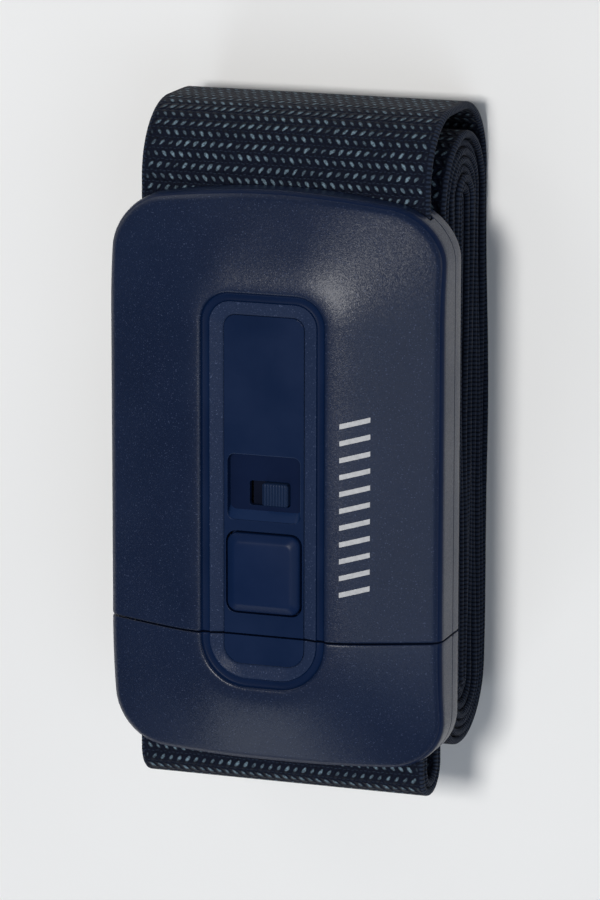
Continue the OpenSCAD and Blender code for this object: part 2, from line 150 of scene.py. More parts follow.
def loft(name, rings, lift=0.0, sharp=35, slots=None):
    """Closed solid through rings of (x, y, z) points, all of one length. slots gives each band's material."""
    n = len(rings[0])
    verts = [p for ring in rings for p in ring]
    faces = []
    for i in range(len(rings) - 1):
        a, b = i * n, (i + 1) * n
        for j in range(n):
            k = (j + 1) % n
            faces.append((a + j, a + k, b + k, b + j))
    faces.append(tuple(reversed(range(n))))
    last = (len(rings) - 1) * n
    faces.append(tuple(range(last, last + n)))
    obj = mesh_object(name, verts, faces, lift, sharp)
    if slots:
        for face in obj.data.polygons:
            band = face.index // n
            face.material_index = slots[band] if band < len(slots) else 0
    outward(obj)
    return obj


def outward(obj):
    bm = bmesh.new()
    bm.from_mesh(obj.data)
    bmesh.ops.recalc_face_normals(bm, faces=bm.faces)
    bm.to_mesh(obj.data)
    bm.free()


def level(loop, z):
    return [(x, y, z) for x, y in loop]


def hull_object(name, points, lift=0.0):
    bm = bmesh.new()
    verts = [bm.verts.new((x * MM, y * MM, (z + lift) * MM)) for x, y, z in points]
    result = bmesh.ops.convex_hull(bm, input=verts)
    inside = {g for g in result["geom_interior"] + result["geom_unused"] if isinstance(g, bmesh.types.BMVert)}
    bmesh.ops.delete(bm, geom=list(inside), context="VERTS")
    bmesh.ops.recalc_face_normals(bm, faces=bm.faces)
    mesh = bpy.data.meshes.new(name)
    bm.to_mesh(mesh)
    bm.free()
    obj = bpy.data.objects.new(name, mesh)
    bpy.context.scene.collection.objects.link(obj)
    return obj


def block(name, x0, x1, y0, y1, z0, z1, lift=0.0):
    return hull_object(name, [(x, y, z) for x in (x0, x1) for y in (y0, y1) for z in (z0, z1)], lift)


def drum(name, x, y, r, z0, z1, lift=0.0):
    sides = 32
    turns = [2 * math.pi * i / sides for i in range(sides)]
    ring = [(x + r * math.cos(a), y + r * math.sin(a)) for a in turns]
    return hull_object(name, level(ring, z0) + level(ring, z1), lift)


def settle(obj):
    """Turns obj's modifiers into its mesh."""
    graph = bpy.context.evaluated_depsgraph_get()
    made = bpy.data.meshes.new_from_object(obj.evaluated_get(graph))
    obj.modifiers.clear()
    obj.data = made


def cut(obj, *tools, mode="DIFFERENCE"):
    """Boolean of obj with the tools, which are used up."""
    for tool in tools:
        step = obj.modifiers.new("cut", "BOOLEAN")
        step.operation = mode
        step.solver = "MANIFOLD"
        step.object = tool
    bpy.context.view_layer.update()
    settle(obj)
    for tool in tools:
        bpy.data.objects.remove(tool, do_unlink=True)
    return obj


def soften(obj, chosen, width, segments, angle):
    """Rounds the sharp edges that chosen picks by place, as a moulded rim is, and keeps the others sharp."""
    shade(obj, 180)
    bm = bmesh.new()
    bm.from_mesh(obj.data)
    # faces of one plane become one face, because a bevel is no wider than the shortest edge it slides along
    bmesh.ops.dissolve_limit(bm, angle_limit=math.radians(0.5), verts=bm.verts, edges=bm.edges)
    weight = bm.edges.layers.float.new("bevel_weight_edge")
    for edge in bm.edges:
        sharp = len(edge.link_faces) == 2 and edge.calc_face_angle() > math.radians(angle)
        if sharp and all(chosen(v.co / MM) for v in edge.verts):
            edge[weight] = 1.0
        elif sharp:
            edge.smooth = False
    bm.to_mesh(obj.data)
    bm.free()
    step = obj.modifiers.new("edges", "BEVEL")
    step.width = width * MM
    step.segments = segments
    step.limit_method = "WEIGHT"
    step.use_clamp_overlap = False
    step.miter_outer = "MITER_ARC"
    step.harden_normals = True
    bpy.context.view_layer.update()
    settle(obj)


# ---------------------------------------------------------------- materials
class Graph:
    """Short names for building a node material."""

    def __init__(self, name):
        self.mat = bpy.data.materials.new(name)
        self.mat.use_nodes = True
        self.nodes = self.mat.node_tree.nodes
        self.links = self.mat.node_tree.links
        self.bsdf = next(n for n in self.nodes if n.type == "BSDF_PRINCIPLED")

    def put(self, socket, value):
        if isinstance(value, bpy.types.NodeSocket):
            self.links.new(value, socket)
        else:
            socket.default_value = value

    def math(self, op, a, b=0.0):
        n = self.nodes.new("ShaderNodeMath")
        n.operation = op
        self.put(n.inputs[0], a)
        self.put(n.inputs[1], b)
        return n.outputs[0]

    def plus(self, a, b):
        return self.math("ADD", a, b)

    def minus(self, a, b):
        return self.math("SUBTRACT", a, b)

    def times(self, a, b):
        return self.math("MULTIPLY", a, b)

    def over(self, a, b):
        return self.math("DIVIDE", a, b)

    def size(self, a):
        return self.math("ABSOLUTE", a)

    def where(self):
        return self.nodes.new("ShaderNodeTexCoord").outputs["Object"]

    def noise(self, coord, scale, detail=2.0, rough=0.5):
        n = self.nodes.new("ShaderNodeTexNoise")
        self.put(n.inputs["Vector"], coord)
        n.inputs["Scale"].default_value = scale
        n.inputs["Detail"].default_value = detail
        n.inputs["Roughness"].default_value = rough
        return n.outputs["Fac"]

    def grains(self, coord, scale):
        """A random colour for each grain."""
        n = self.nodes.new("ShaderNodeTexVoronoi")
        self.put(n.inputs["Vector"], coord)
        n.inputs["Scale"].default_value = scale
        return n.outputs["Color"]

    def band(self, value, a, b, lo=0.0, hi=1.0, smooth=True):
        n = self.nodes.new("ShaderNodeMapRange")
        n.interpolation_type = "SMOOTHSTEP" if smooth else "LINEAR"
        self.put(n.inputs["Value"], value)
        self.put(n.inputs["From Min"], a)
        self.put(n.inputs["From Max"], b)
        self.put(n.inputs["To Min"], lo)
        self.put(n.inputs["To Max"], hi)
        return n.outputs["Result"]

    def ramp(self, fac, *stops):
        n = self.nodes.new("ShaderNodeValToRGB")
        e = n.color_ramp.elements
        while len(e) < len(stops):
            e.new(0.5)
        for k, (pos, col) in enumerate(stops):
            e[k].position = pos
            e[k].color = (*col, 1.0)
        self.put(n.inputs["Fac"], fac)
        return n.outputs["Color"]

    def mix(self, fac, a, b):
        n = self.nodes.new("ShaderNodeMix")
        n.data_type = "RGBA"
        self.put(n.inputs[0], fac)
        self.put(n.inputs[6], a if isinstance(a, bpy.types.NodeSocket) else (*a, 1.0))
        self.put(n.inputs[7], b if isinstance(b, bpy.types.NodeSocket) else (*b, 1.0))
        return n.outputs[2]

    def split(self, vector):
        n = self.nodes.new("ShaderNodeSeparateXYZ")
        self.put(n.inputs[0], vector)
        return n.outputs

    def bump(self, height, distance, strength=1.0):
        n = self.nodes.new("ShaderNodeBump")
        n.inputs["Distance"].default_value = distance
        n.inputs["Strength"].default_value = strength
        self.put(n.inputs["Height"], height)
        return n.outputs["Normal"]

    def lean(self, normal, facet, amount):
        """The normal, tilted by a random colour that is the same all over one grain."""
        tilt = self.nodes.new("ShaderNodeVectorMath")
        tilt.operation = "MULTIPLY_ADD"
        self.put(tilt.inputs[0], facet)
        tilt.inputs[1].default_value = (amount,) * 3
        tilt.inputs[2].default_value = (-amount / 2,) * 3
        both = self.nodes.new("ShaderNodeVectorMath")
        both.operation = "ADD"
        self.put(both.inputs[0], normal)
        self.put(both.inputs[1], tilt.outputs[0])
        unit = self.nodes.new("ShaderNodeVectorMath")
        unit.operation = "NORMALIZE"
        self.put(unit.inputs[0], both.outputs[0])
        return unit.outputs[0]

    def set(self, **values):
        for name, value in values.items():
            self.put(self.bsdf.inputs[name.replace("_", " ")], value)
        return self.mat


def matt_shell(name, low, high, gloss):
    """Matt navy moulding with a fine spark-eroded grain whose leaning facets sparkle here and there; sparse
    pale specks mixed into its colour are painted highlights for more glints.
    """
    g = Graph(name)
    at = g.where()
    soft = g.noise(at, 4600.0, 1.0, 0.5)
    cloud = g.noise(at, 60.0, 3.0)
    # painted highlight: sparse pale specks in the base colour stand in for glints of light on the grain
    painted_glint = g.band(g.noise(at, 4200.0, 0.0), 0.68, 0.82)
    tone = g.plus(g.times(cloud, 0.4), g.times(soft, 0.6))
    painted_glint_color = tuple(1.6 * c + 0.020 for c in high)
    # every grain leans its own way
    facet = g.grains(at, 5200.0)
    return g.set(
        Base_Color=g.mix(painted_glint, g.ramp(tone, (0.3, low), (0.7, high)), painted_glint_color),
        Roughness=g.band(cloud, 0.3, 0.7, 0.33, 0.39),
        Specular_IOR_Level=gloss,
        Normal=g.lean(g.bump(soft, 0.00002, 1.0), facet, 0.09),
    )


def smooth_navy(name, low, high, rough, gloss=0.13, bump=0.12):
    """Smooth moulding whose colour and roughness drift a little between two values."""
    g = Graph(name)
    at = g.where()
    cloud = g.noise(at, 90.0, 4.0)
    fine = g.noise(at, 2500.0, 2.0)
    return g.set(
        Base_Color=g.ramp(cloud, (0.3, low), (0.7, high)),
        Roughness=g.band(cloud, 0.3, 0.7, *rough),
        Specular_IOR_Level=gloss,
        Normal=g.bump(fine, 0.00002, bump),
    )


def steel(name, tone, rough):
    g = Graph(name)
    cloud = g.noise(g.where(), 700.0, 4.0)
    return g.set(
        Base_Color=g.ramp(cloud, (0.3, (tone * 0.92,) * 3), (0.7, (tone, tone, tone * 1.03))),
        Metallic=1.0,
        Roughness=g.band(cloud, 0.3, 0.7, *rough),
        Normal=g.bump(cloud, 0.00001, 0.2),
    )


def webbing(name):
    """Herringbone webbing: rows of pale flecks that lean left and right in turn on near-black navy yarn."""
    g = Graph(name)
    weave = g.nodes.new("ShaderNodeUVMap")
    weave.uv_map = "weave"
    u, v, _ = g.split(weave.outputs["UV"])
    at = g.where()
    wobble = g.noise(at, 55.0, 2.0)
    stray = g.noise(at, 1100.0, 1.0)
    twist = g.noise(at, 3200.0, 2.0, 0.6)
    # place in the weave: whole numbers along are rows, whole numbers of slid are flecks of a row
    across = g.plus(g.plus(g.over(u, FLECK_PITCH), g.times(wobble, 0.25)), g.times(stray, 0.22))
    along = g.plus(g.plus(g.over(v, ROW_PITCH), g.times(wobble, 0.15)), g.times(stray, 0.16))
    row = g.math("FLOOR", along)
    odd = g.math("MODULO", g.size(row), 2.0)
    lean = g.minus(1.0, g.times(odd, 2.0))
    up = g.minus(g.math("FRACT", along), 0.5)
    slid = g.plus(g.plus(across, g.times(g.times(lean, up), 0.75)), g.times(odd, 0.5))
    x = g.size(g.minus(g.math("FRACT", slid), 0.5))
    y = g.size(up)
    # every fleck differs a little
    comb = g.nodes.new("ShaderNodeCombineXYZ")
    g.put(comb.inputs[0], g.math("FLOOR", slid))
    g.put(comb.inputs[1], row)
    cell = g.nodes.new("ShaderNodeTexWhiteNoise")
    cell.noise_dimensions = "2D"
    g.put(cell.inputs["Vector"], comb.outputs[0])
    chance = cell.outputs["Value"]
    # a fleck is a leaning drop, wider at one end
    wide = g.minus(g.plus(0.215, g.times(chance, 0.05)), g.times(up, 0.22))
    reach = g.plus(0.24, g.times(chance, 0.06))
    far = g.plus(g.math("POWER", g.over(x, wide), 2.0), g.math("POWER", g.over(y, reach), 2.0))
    fleck = g.band(far, 1.25, 0.05)
    fibre = g.band(twist, 0.35, 0.62)
    inside = g.band(g.size(u), 24.2, 23.2)
    shown = g.times(g.times(fleck, inside), g.plus(0.35, g.times(fibre, 0.65)))
    shown = g.times(shown, g.plus(0.45, g.times(chance, 0.6)))
    # faint dots of the weft between the rows
    dot = g.times(g.band(g.size(g.minus(y, 0.5)), 0.07, 0.02), g.band(x, 0.30, 0.42))
    dark = g.ramp(twist, (0.25, (0.0010, 0.0020, 0.006)), (0.75, (0.0038, 0.0070, 0.020)))
    color = g.mix(g.times(dot, 0.25), dark, (0.06, 0.10, 0.15))
    color = g.mix(shown, color, (0.17, 0.25, 0.31))
    # the selvedge is a tight tube of plain yarn
    edge = g.band(g.size(u), 24.2, 24.5)
    loops = g.band(g.size(g.minus(g.math("FRACT", g.over(v, 0.72)), 0.5)), 0.45, 0.10)
    yarn = g.ramp(loops, (0.0, (0.0025, 0.0048, 0.012)), (1.0, (0.016, 0.025, 0.048)))
    color = g.mix(edge, color, yarn)
    ridge = g.times(g.band(x, 0.46, 0.05), g.band(y, 0.5, 0.25))
    ridge = g.plus(g.times(ridge, g.minus(1.0, edge)), g.times(loops, edge))
    return g.set(
        Base_Color=color,
        Roughness=0.8,
        Specular_IOR_Level=0.12,
        Sheen_Weight=0.03,
        Sheen_Roughness=0.4,
        Normal=g.bump(g.plus(ridge, g.times(twist, 0.25)), 0.00028, 0.8),
    )


def print_grey():
    g = Graph("grey print")
    tone = g.noise(g.where(), 1500.0, 3.0)
    ink = g.ramp(tone, (0.3, (0.38, 0.385, 0.40)), (0.7, (0.47, 0.475, 0.49)))
    return g.set(Base_Color=ink, Roughness=0.45)


SHELL = matt_shell("matt navy moulding", (0.0036, 0.0088, 0.028), (0.0066, 0.0148, 0.043), 0.26)
RING_M = matt_shell("matt navy ring", (0.0122, 0.0210, 0.050), (0.0176, 0.0288, 0.066), 0.05)
LIP = smooth_navy("smooth navy edge", (0.0018, 0.0084, 0.033), (0.0028, 0.0110, 0.041), (0.38, 0.46), 0.07)
PANEL_M = smooth_navy("smooth navy panel", (0.0022, 0.0098, 0.037), (0.0032, 0.0126, 0.046), (0.30, 0.38))
BUTTON_M = smooth_navy(
    "smooth navy button", (0.0028, 0.011, 0.042), (0.0042, 0.0142, 0.052), (0.35, 0.43), 0.11
)
KNOB_M = smooth_navy("navy slider", (0.0070, 0.0165, 0.045), (0.0095, 0.0210, 0.055), (0.32, 0.42))
# painted shade: the pocket's floor is a darker navy than the panel, standing in for the shade in the recess
POCKET_FLOOR_SHADE_M = smooth_navy(
    "pocket floor painted shade", (0.0010, 0.0056, 0.026), (0.0016, 0.0076, 0.033), (0.38, 0.46), 0.07
)
# painted shade: the plate seen through the slot is near-black navy, standing in for the shade inside the slot
SLOT_SHADE_PLATE_M = smooth_navy("slider plate painted shade", (0.0008, 0.0026, 0.011), (0.0013, 0.0036, 0.014), (0.40, 0.48), 0.06)
# painted highlight: a pale navy for the pocket's top and right rim, standing in for light caught on that edge
RIM_HIGHLIGHT_M = smooth_navy("pocket rim painted highlight", (0.0140, 0.0270, 0.066), (0.0180, 0.0330, 0.076), (0.30, 0.40))
# painted light: the up-facing ramp at the pocket's lower end is a lighter navy, as if lit from above
RAMP_LIGHT_M = smooth_navy("pocket ramp painted light", (0.0052, 0.0170, 0.058), (0.0070, 0.0210, 0.068), (0.30, 0.40))
INNER = smooth_navy(
    "black inner moulding", (0.0035, 0.0038, 0.0055), (0.007, 0.0074, 0.010), (0.42, 0.55), bump=0.3
)
THREAD = smooth_navy("dark thread", (0.015, 0.020, 0.040), (0.030, 0.038, 0.070), (0.70, 0.85), bump=0.6)
STEEL = steel("plated steel", 0.62, (0.22, 0.38))
SPRING = steel("spring wire", 0.5, (0.2, 0.3))
WEB = webbing("herringbone webbing")
PRINT = print_grey()


def dress(obj, material, body=None, *nodes):
    if material:
        obj.data.materials.clear()
        obj.data.materials.append(material)
    if body:
        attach(obj, body)
    if nodes:
        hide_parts(*nodes)
    return obj


# ---------------------------------------------------------------- camera, floor and light
VIEW = Vector((0.32, 0.22, 0.92)).normalized()
AIM = Vector((0.0015, 0.0, 0.028))
DISTANCE = 0.87
ROLL = math.radians(0.1)
LIT = Vector((0, 0, 0.02))


def add_camera():
    data = bpy.data.cameras.new("camera")
    data.sensor_width = 36.0
    data.lens = 210.0
    data.clip_start = 0.01
    cam = bpy.data.objects.new("camera", data)
    bpy.context.scene.collection.objects.link(cam)
    right = Vector((0, 1, 0)).cross(VIEW).normalized()
    up = VIEW.cross(right)
    r2 = right * math.cos(ROLL) + up * math.sin(ROLL)
    u2 = up * math.cos(ROLL) - right * math.sin(ROLL)
    turn = Matrix((r2, u2, VIEW)).transposed().to_4x4()
    cam.matrix_world = Matrix.Translation(AIM + VIEW * DISTANCE) @ turn
    bpy.context.scene.camera = cam


def add_light(name, place, size, power, color=(1, 1, 1)):
    """A square area light that faces the object's middle."""
    data = bpy.data.lights.new(name, "AREA")
    data.energy = power
    data.color = color
    data.size = size
    obj = bpy.data.objects.new(name, data)
    bpy.context.scene.collection.objects.link(obj)
    obj.location = place
    obj.rotation_euler = (LIT - Vector(place)).to_track_quat("-Z", "Y").to_euler()


def add_stage():
    g = Graph("pale floor")
    n = g.noise(g.where(), 9.0, 4.0)
    fine = g.noise(g.where(), 900.0, 2.0)
    far = g.nodes.new("ShaderNodeVectorMath")
    far.operation = "LENGTH"
    g.put(far.inputs[0], g.where())
    g.bsdf.inputs["Emission Color"].default_value = (1.0, 0.99, 0.97, 1.0)
    g.set(
        Base_Color=g.ramp(n, (0.3, (0.84, 0.84, 0.835)), (0.7, (0.87, 0.87, 0.865))),
        Roughness=0.75,
        Normal=g.bump(fine, 0.00003, 0.3),
        Emission_Strength=g.band(far.outputs["Value"], 0.25, 1.4, 0.0, 0.46, smooth=False),
    )
    s = 1500.0
    floor = mesh_object("floor", [(-s, -s, 0), (s, -s, 0), (s, s, 0), (-s, s, 0)], [(0, 1, 2, 3)])
    floor.data.materials.append(g.mat)
    add_light("key", (0.04, 0.17, 1.0), 0.16, 7.0, (1.0, 0.985, 0.96))
    add_light("right", (0.50, -0.24, 0.86), 0.55, 1.5, (0.78, 0.88, 1.0))
    add_light("front", (-0.30, -0.85, 0.50), 0.5, 2.0, (0.88, 0.94, 1.0))
    add_light("side", (0.90, 0.20, 0.12), 0.4, 0.8)
    add_light("back", (-0.60, 0.80, 0.25), 0.5, 1.3)
    world = bpy.data.worlds.new("studio")
    world.use_nodes = True
    tree = world.node_tree
    dim = next(n for n in tree.nodes if n.type == "BACKGROUND")
    dim.inputs["Color"].default_value = (0.84, 0.88, 1.0, 1.0)
    dim.inputs["Strength"].default_value = 0.12
    pale = tree.nodes.new("ShaderNodeBackground")
    pale.inputs["Color"].default_value = (0.74, 0.74, 0.73, 1.0)
    pick = tree.nodes.new("ShaderNodeMixShader")
    seen = tree.nodes.new("ShaderNodeLightPath").outputs["Is Camera Ray"]
    out = next(n for n in tree.nodes if n.type == "OUTPUT_WORLD")
    tree.links.new(seen, pick.inputs[0])
    tree.links.new(dim.outputs[0], pick.inputs[1])
    tree.links.new(pale.outputs[0], pick.inputs[2])
    tree.links.new(pick.outputs[0], out.inputs["Surface"])
    bpy.context.scene.world = world
    bpy.context.scene.view_settings.view_transform = "Standard"


add_camera()
add_stage()


# ---------------------------------------------------------------- webbing
def line(p, q, step=3.0):
    n = max(1, int(round(math.dist(p, q) / step)))
    return [(p[0] + (q[0] - p[0]) * i / n, p[1] + (q[1] - p[1]) * i / n) for i in range(n)]


def arc(cy, cz, r, a0, a1, step=1.0):
    n = max(10, int(abs(math.radians(a1 - a0)) * r / step))
    out = []
    for i in range(n):
        a = math.radians(a0 + (a1 - a0) * i / n)
        out.append((cy + r * math.cos(a), cz + r * math.sin(a)))
    return out


def ease(p, q, n=10):
    """From one height to another with a level start and end."""
    out = []
    for i in range(n):
        f = i / n
        out.append((p[0] + (q[0] - p[0]) * f, p[1] + (q[1] - p[1]) * (f * f * (3 - 2 * f))))
    return out


def band_section(across=14, rounds=6):
    """Outline of the webbing's section, with round selvedges."""
    h = WEB_T / 2
    half = WEB_W / 2 - h
    section = []
    for side in (1, -1):
        for i in range(across + 1):
            section.append((side * (half - 2 * half * i / across), side * h))
        for i in range(1, rounds):
            a = math.radians(90 + 180 * i / rounds)
            section.append((side * (h * math.cos(a) - half), side * h * math.sin(a)))
    return section


def strip(name, path, start=0.0, sway=None):
    """Webbing swept along a path of (y, z) places, with its weave in UV millimetres, and its length."""
    section = band_section()
    n = len(section)
    verts, lengths, run = [], [], start
    for i, (y, z) in enumerate(path):
        if i:
            run += math.dist(path[i - 1], path[i])
        lengths.append(run)
        a, b = path[max(0, i - 1)], path[min(len(path) - 1, i + 1)]
        ty, tz = b[0] - a[0], b[1] - a[1]
        t = math.hypot(ty, tz)
        ny, nz = -tz / t, ty / t
        dx = sway(run) if sway else 0.0
        for sx, st in section:
            verts.append((sx + dx, y + ny * st, z + nz * st))
    faces = []
    for i in range(len(path) - 1):
        for j in range(n):
            k = (j + 1) % n
            faces.append((i * n + j, i * n + k, (i + 1) * n + k, (i + 1) * n + j))
    faces.append(tuple(range(n)))
    last = (len(path) - 1) * n
    faces.append(tuple(reversed(range(last, last + n))))
    obj = mesh_object(name, verts, faces, sharp=60)
    outward(obj)
    uv = obj.data.uv_layers.new(name="weave")
    places = [0.0] * (2 * len(obj.data.loops))
    for loop in obj.data.loops:
        i, j = divmod(loop.vertex_index, n)
        places[2 * loop.index] = section[j][0]
        places[2 * loop.index + 1] = lengths[i]
    uv.data.foreach_set("uv", places)
    obj.data.materials.append(WEB)
    return obj, run - start


def wind_arms():
    """Middle line of the wound layers: a flat double spiral, in from the feed layer, out to the back one."""

    def level_of(k):
        return HANK_MID + k * LAYER

    path = []
    # inwards: after the feed layer, which is +8 from the middle, come -7, +6 and so on to the middle
    for k in range(TURNS, 0, -2):
        path += arc(RUN, level_of(0.5), (k - 0.5) * LAYER, 90, -90)
        path += line((RUN, level_of(1 - k)), (-RUN, level_of(1 - k)))
        path += arc(-RUN, level_of(-0.5), (k - 1.5) * LAYER, 270, 90)
        path += line((-RUN, level_of(k - 2)), (RUN, level_of(k - 2)))
    # outwards: +1, -2 and so on to -8
    for k in range(1, TURNS, 2):
        path += arc(RUN, level_of(0.5), (k - 0.5) * LAYER, -90, 90)
        path += line((RUN, level_of(k)), (-RUN, level_of(k)))
        path += arc(-RUN, level_of(-0.5), (k + 0.5) * LAYER, 90, 270)
        path += line((-RUN, level_of(-k - 1)), (RUN, level_of(-k - 1)))
    path.append((RUN, level_of(-TURNS)))
    return path


def wander(run):
    """Layers that don't lie exactly over one another."""
    return 0.35 * math.sin(run / 47.0) + 0.22 * math.sin(run / 19.0 + 1.3) + 0.10 * math.sin(run / 7.3)


def fade(run, length):
    """From 1 down to 0 over a length, with a level start and end."""
    f = min(1.0, max(0.0, run / length))
    return 1 - f * f * (3 - 2 * f)


def make_winding():
    hank, hank_l = strip("wound_webbing", wind_arms(), 0.0, wander)
    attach(hank, "housing")
    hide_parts("web_hank")
    return hank_l


def make_top_webbing(hank_l):
    """From the back layer round the top bend into the housing, round the anchor bar and a little way back."""
    r = TOP_BEND
    low = HANK_MID - TURNS * LAYER
    high = BUCKLE_Z + ANCHOR_MAIN
    bar_z = high + ANCHOR_LOOP
    loop_top = bar_z + ANCHOR_LOOP
    sewn, sewn_end = high + 1.4, 37.5
    end = wander(hank_l)
    path = line((RUN, low), (TOP, low))
    path += arc(TOP, low + r, r, -90, 0, 0.8)
    path += line((TOP + r, low + r), (TOP + r, high - r), 1.0)
    path += arc(TOP, high - r, r, 0, 90, 0.8)
    path += line((TOP, high), (ANCHOR_Y, high))
    path += arc(ANCHOR_Y, bar_z, ANCHOR_LOOP, 270, 90, 0.5)
    path += line((ANCHOR_Y, loop_top), (ANCHOR_Y + 1, loop_top), 0.5)
    path += ease((ANCHOR_Y + 1, loop_top), (ANCHOR_Y + 6, sewn))
    path += line((ANCHOR_Y + 6, sewn), (sewn_end, sewn))
    path.append((sewn_end, sewn))

    def back_to_middle(run):
        return end * fade(run - hank_l, 45.0)

    wrap, wrap_l = strip("top_webbing", path, hank_l, back_to_middle)
    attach(wrap, "housing")
    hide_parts("web_wrap", "web_anchor")


def make_feed_and_tail():
    """From the outermost layer round the lower fold, over the adjuster bar and back out as the free tail."""
    fold_z = FEED_Z + FOLD_R
    main = fold_z + FOLD_R
    bar_z = BUCKLE_Z + ADJUSTER_Z
    over, under = bar_z + ADJUSTER_LOOP, bar_z - ADJUSTER_LOOP
    mouth_y, bar_side = -46.0, -43.0  # the webbing changes height between these places
    start = wander(0.0)
    path = line((RUN, FEED_Z), (FOLD_Y, FEED_Z), 2.0)
    path += arc(FOLD_Y, fold_z, FOLD_R, 270, 90, 0.5)
    path += line((FOLD_Y, main), (mouth_y, main), 1.0)
    path += ease((mouth_y, main), (bar_side, over))
    path += line((bar_side, over), (ADJUSTER_Y, over), 0.5)
    path += arc(ADJUSTER_Y, bar_z, ADJUSTER_LOOP, 90, -90, 0.4)
    path.append((ADJUSTER_Y, under))

    def from_hank(run):
        return start * fade(run, 50.0)

    feed, feed_l = strip("feed_webbing", path, 0.0, from_hank)
    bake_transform(feed)
    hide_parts("web_feed", "web_fold")

    inner = FOLD_R - LAYER
    path = line((ADJUSTER_Y, under), (bar_side, under), 0.5)
    path += ease((bar_side, under), (mouth_y, fold_z + inner))
    path += line((mouth_y, fold_z + inner), (FOLD_Y, fold_z + inner), 1.0)
    path += arc(FOLD_Y, fold_z, inner, 90, 270, 0.5)
    path += line((FOLD_Y, fold_z - inner), (TAIL_Y, fold_z - inner), 2.0)
    path.append((TAIL_Y, fold_z - inner))
    tail, tail_l = strip("free_tail", path, feed_l)
    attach(tail, "tongue")
    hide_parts("web_tail")


make_top_webbing(make_winding())
make_feed_and_tail()


# ---------------------------------------------------------------- buckle shells
def ring_loop(o):
    """Outline at a distance o outside the panel. Its corners grow faster in the ring than beyond it."""
    hw, y0, y1 = PANEL
    ring, beyond = min(o, RING_W), max(0.0, o - RING_W)
    return corner_loop(hw + o, y0 - o, y1 + o, 3 + 1.52 * ring + beyond, 2 + 0.78 * ring + 0.85 * beyond)


OUTLINE = corner_loop(HALF_W, BOTTOM, TOP, CORNER_R, CORNER_R, bow=END_BOW)
FALL, ROUND = 0.42, 4.0  # slope that the crown tends to, and how softly it starts
MATT, SMOOTH, RING = 0, 1, 2  # material slots of the front shells


def out_to(px, py, dx, dy, border):
    """Distance from a point, along a direction, to a closed outline."""
    best = None
    for (ax, ay), (bx, by) in zip(border, border[1:] + border[:1]):
        ex, ey = bx - ax, by - ay
        det = dx * -ey + dy * ex
        if abs(det) < 1e-9:
            continue
        t = ((ax - px) * -ey + (ay - py) * ex) / det
        u = (dx * (ay - py) - dy * (ax - px)) / det
        if t > 0 and -1e-6 <= u <= 1 + 1e-6 and (best is None or t < best):
            best = t
    return best


def crown_spans():
    """From each place on the crest: where it is, the way out from it, and how far the outline is."""
    inner = ring_loop(CREST)
    n = len(inner)
    spans = []
    for i, (x, y) in enumerate(inner):
        (ax, ay), (bx, by) = inner[i - 1], inner[(i + 1) % n]
        dx, dy = by - ay, ax - bx
        full = math.hypot(dx, dy)
        dx, dy = dx / full, dy / full
        spans.append((x, y, dx, dy, out_to(x, y, dx, dy, OUTLINE)))
    return spans


def crown(d):
    return CREST_Z - FALL * (math.sqrt(d * d + ROUND * ROUND) - ROUND)


def crown_slope(d):
    return math.atan(FALL * d / math.sqrt(d * d + ROUND * ROUND))


def crown_rings():
    """The outside of the closed buckle's front, from the panel's seat outwards and down to the seam."""
    rings = [level(ring_loop(0.0), PANEL_Z - PANEL_T), level(ring_loop(0.0), PANEL_Z - 0.22)]
    slots = [MATT, RING]
    # distance outside the panel, height over it and slot of the matt ring, then of the groove
    profile = [
        (0.06, -0.08, RING), (0.18, 0.02, RING), (0.40, 0.10, RING), (1.00, 0.27, RING), (1.60, 0.45, RING),
        (2.00, 0.57, RING), (2.20, 0.61, RING),
        (2.28, 0.60, SMOOTH), (2.33, 0.54, SMOOTH), (2.36, 0.45, SMOOTH), (2.42, 0.37, SMOOTH),
        (2.54, 0.33, SMOOTH), (2.80, 0.32, SMOOTH), (3.30, 0.33, SMOOTH), (3.50, 0.37, SMOOTH),
        (3.62, 0.46, SMOOTH), (3.70, 0.60, SMOOTH),
        (3.76, 0.74, MATT), (3.86, 0.87, MATT), (4.00, 0.96, MATT), (CREST, CREST_Z - PANEL_Z, MATT),
    ]
    for o, z, slot in profile:
        rings.append(level(ring_loop(o), PANEL_Z + z))
        slots.append(slot)
    # the crown ends at t, where the rounding begins with the crown's own slope
    spans = []
    for ax, ay, dx, dy, full in crown_spans():
        theta = crown_slope(full - 0.6 * EDGE_R)
        spans.append((ax, ay, dx, dy, full, theta, full - EDGE_R * (1 - math.sin(theta))))
    steps = 24
    for k in range(1, steps + 1):
        f = (k / steps) ** 1.2
        rings.append([(ax + dx * f * t, ay + dy * f * t, crown(f * t)) for ax, ay, dx, dy, _, _, t in spans])
        slots.append(MATT)
    turns = 12
    shiny = range(5, 9)
    for k in range(1, turns + 1):
        ring = []
        for ax, ay, dx, dy, full, theta, t in spans:
            phi = theta + (math.pi / 2 - theta) * k / turns
            d = full - EDGE_R * (1 - math.sin(phi))
            ring.append((ax + dx * d, ay + dy * d, crown(t) - EDGE_R * (math.cos(theta) - math.cos(phi))))
        rings.append(ring)
        slots.append(SMOOTH if k in shiny else MATT)
    edge = rings[-1]
    for drop in (0.33, 0.66, 1.0):
        rings.append([(x, y, z + (SEAM + 0.14 - z) * drop) for x, y, z in edge])
        slots.append(MATT)
    rings.append([(x * 0.996, y * 0.998, SEAM) for x, y, _ in edge])
    return rings, slots


def skirt():
    """The outline as the front shell's side follows it."""
    return [(ax + dx * full, ay + dy * full) for ax, ay, dx, dy, full in crown_spans()]


